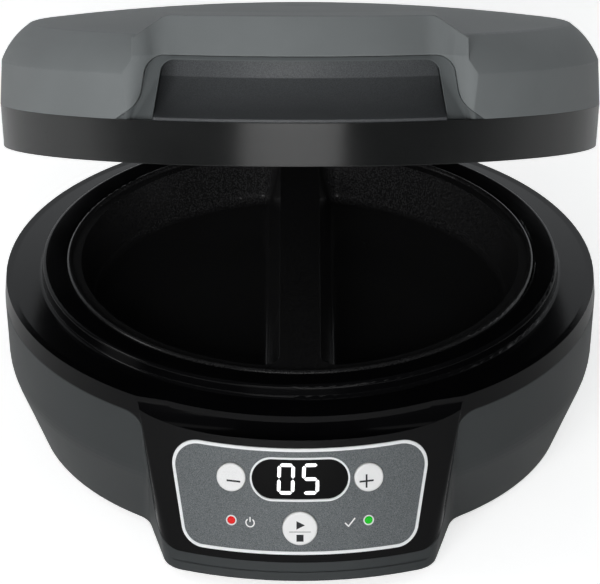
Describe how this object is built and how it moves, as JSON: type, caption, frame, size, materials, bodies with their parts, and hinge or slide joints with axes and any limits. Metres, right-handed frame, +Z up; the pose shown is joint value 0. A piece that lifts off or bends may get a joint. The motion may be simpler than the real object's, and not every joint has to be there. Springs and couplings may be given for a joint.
{
  "type": "electric omelette maker",
  "caption": "Round countertop electric omelette maker with a hinged lid, a pan of two half-moon wells and a push-button panel on a front nose.",
  "frame": {"origin": "on the table, under the middle of the machine's box", "axes": "+Z up, the control panel faces -Y, +X to the machine's left as seen from behind (right in the picture)"},
  "size_m": [0.262, 0.293, 0.2289],
  "materials": {
    "slate_plastic": "satin",
    "black_plastic": "gloss",
    "black_gloss": "gloss",
    "trim_grey": "satin",
    "nonstick": "non-stick coated",
    "element_steel": "satin",
    "shield_steel": "rolled sheet",
    "screw_steel": "zinc plated",
    "panel_grey": "sparkle paint",
    "pale_trim": "gloss",
    "window_black": "gloss",
    "red_lens": "gloss",
    "green_lens": "gloss",
    "button_white": "satin",
    "board_green": "solder mask",
    "foot_rubber": "matt"
  },
  "bodies": {
    "base": {"base_skirt": "slate_plastic", "deck_housing": "black_plastic", "lower_pan": "nonstick", "lower_heater": "element_steel", "lower_reflector": "shield_steel", "pan_screws": "screw_steel", "thermostat": "element_steel", "thermal_fuse": "element_steel", "control_plate": "panel_grey", "panel_trim": "pale_trim", "display_bezel": "pale_trim", "display_window": "window_black", "lamp_rings": "pale_trim", "power_lamp": "red_lens", "ready_lamp": "green_lens", "control_board": "board_green", "display_module": "window_black", "power_board": "board_green", "bottom_cover": "black_plastic", "feet": "foot_rubber", "cover_screws": "screw_steel", "cord_gland": "foot_rubber", "hinge_bracket": "black_plastic", "hinge_pin": "screw_steel", "hinge_screws": "screw_steel"},
    "lid": {"lid_cover": "slate_plastic", "lid_band": "black_gloss", "handle_trim": "trim_grey", "grip_scoop": "black_gloss", "upper_plate": "nonstick", "upper_heater": "element_steel", "upper_reflector": "shield_steel", "lid_hinge_arm": "black_plastic", "lid_screws": "screw_steel"},
    "minus_key": {"minus_button": "button_white"},
    "plus_key": {"plus_button": "button_white"},
    "start_key": {"start_button": "button_white"}
  },
  "joints": [
    {"name": "lid_hinge", "type": "hinge", "parent": "base", "child": "lid", "pos_m": [0, 0.1389, 0.071], "axis": [-1, 0, 0], "range_deg": [-23.8, 71.2]},
    {"name": "minus_press", "type": "slide", "parent": "base", "child": "minus_key", "axis": [0.2097, 0.9506, -0.2289], "range_m": [0, 0.0008], "stiffness_N_per_m": 400},
    {"name": "plus_press", "type": "slide", "parent": "base", "child": "plus_key", "axis": [-0.2097, 0.9506, -0.2289], "range_m": [0, 0.0008], "stiffness_N_per_m": 400},
    {"name": "start_press", "type": "slide", "parent": "base", "child": "start_key", "axis": [0, 0.9735, -0.2289], "range_m": [0, 0.0008], "stiffness_N_per_m": 400}
  ]
}
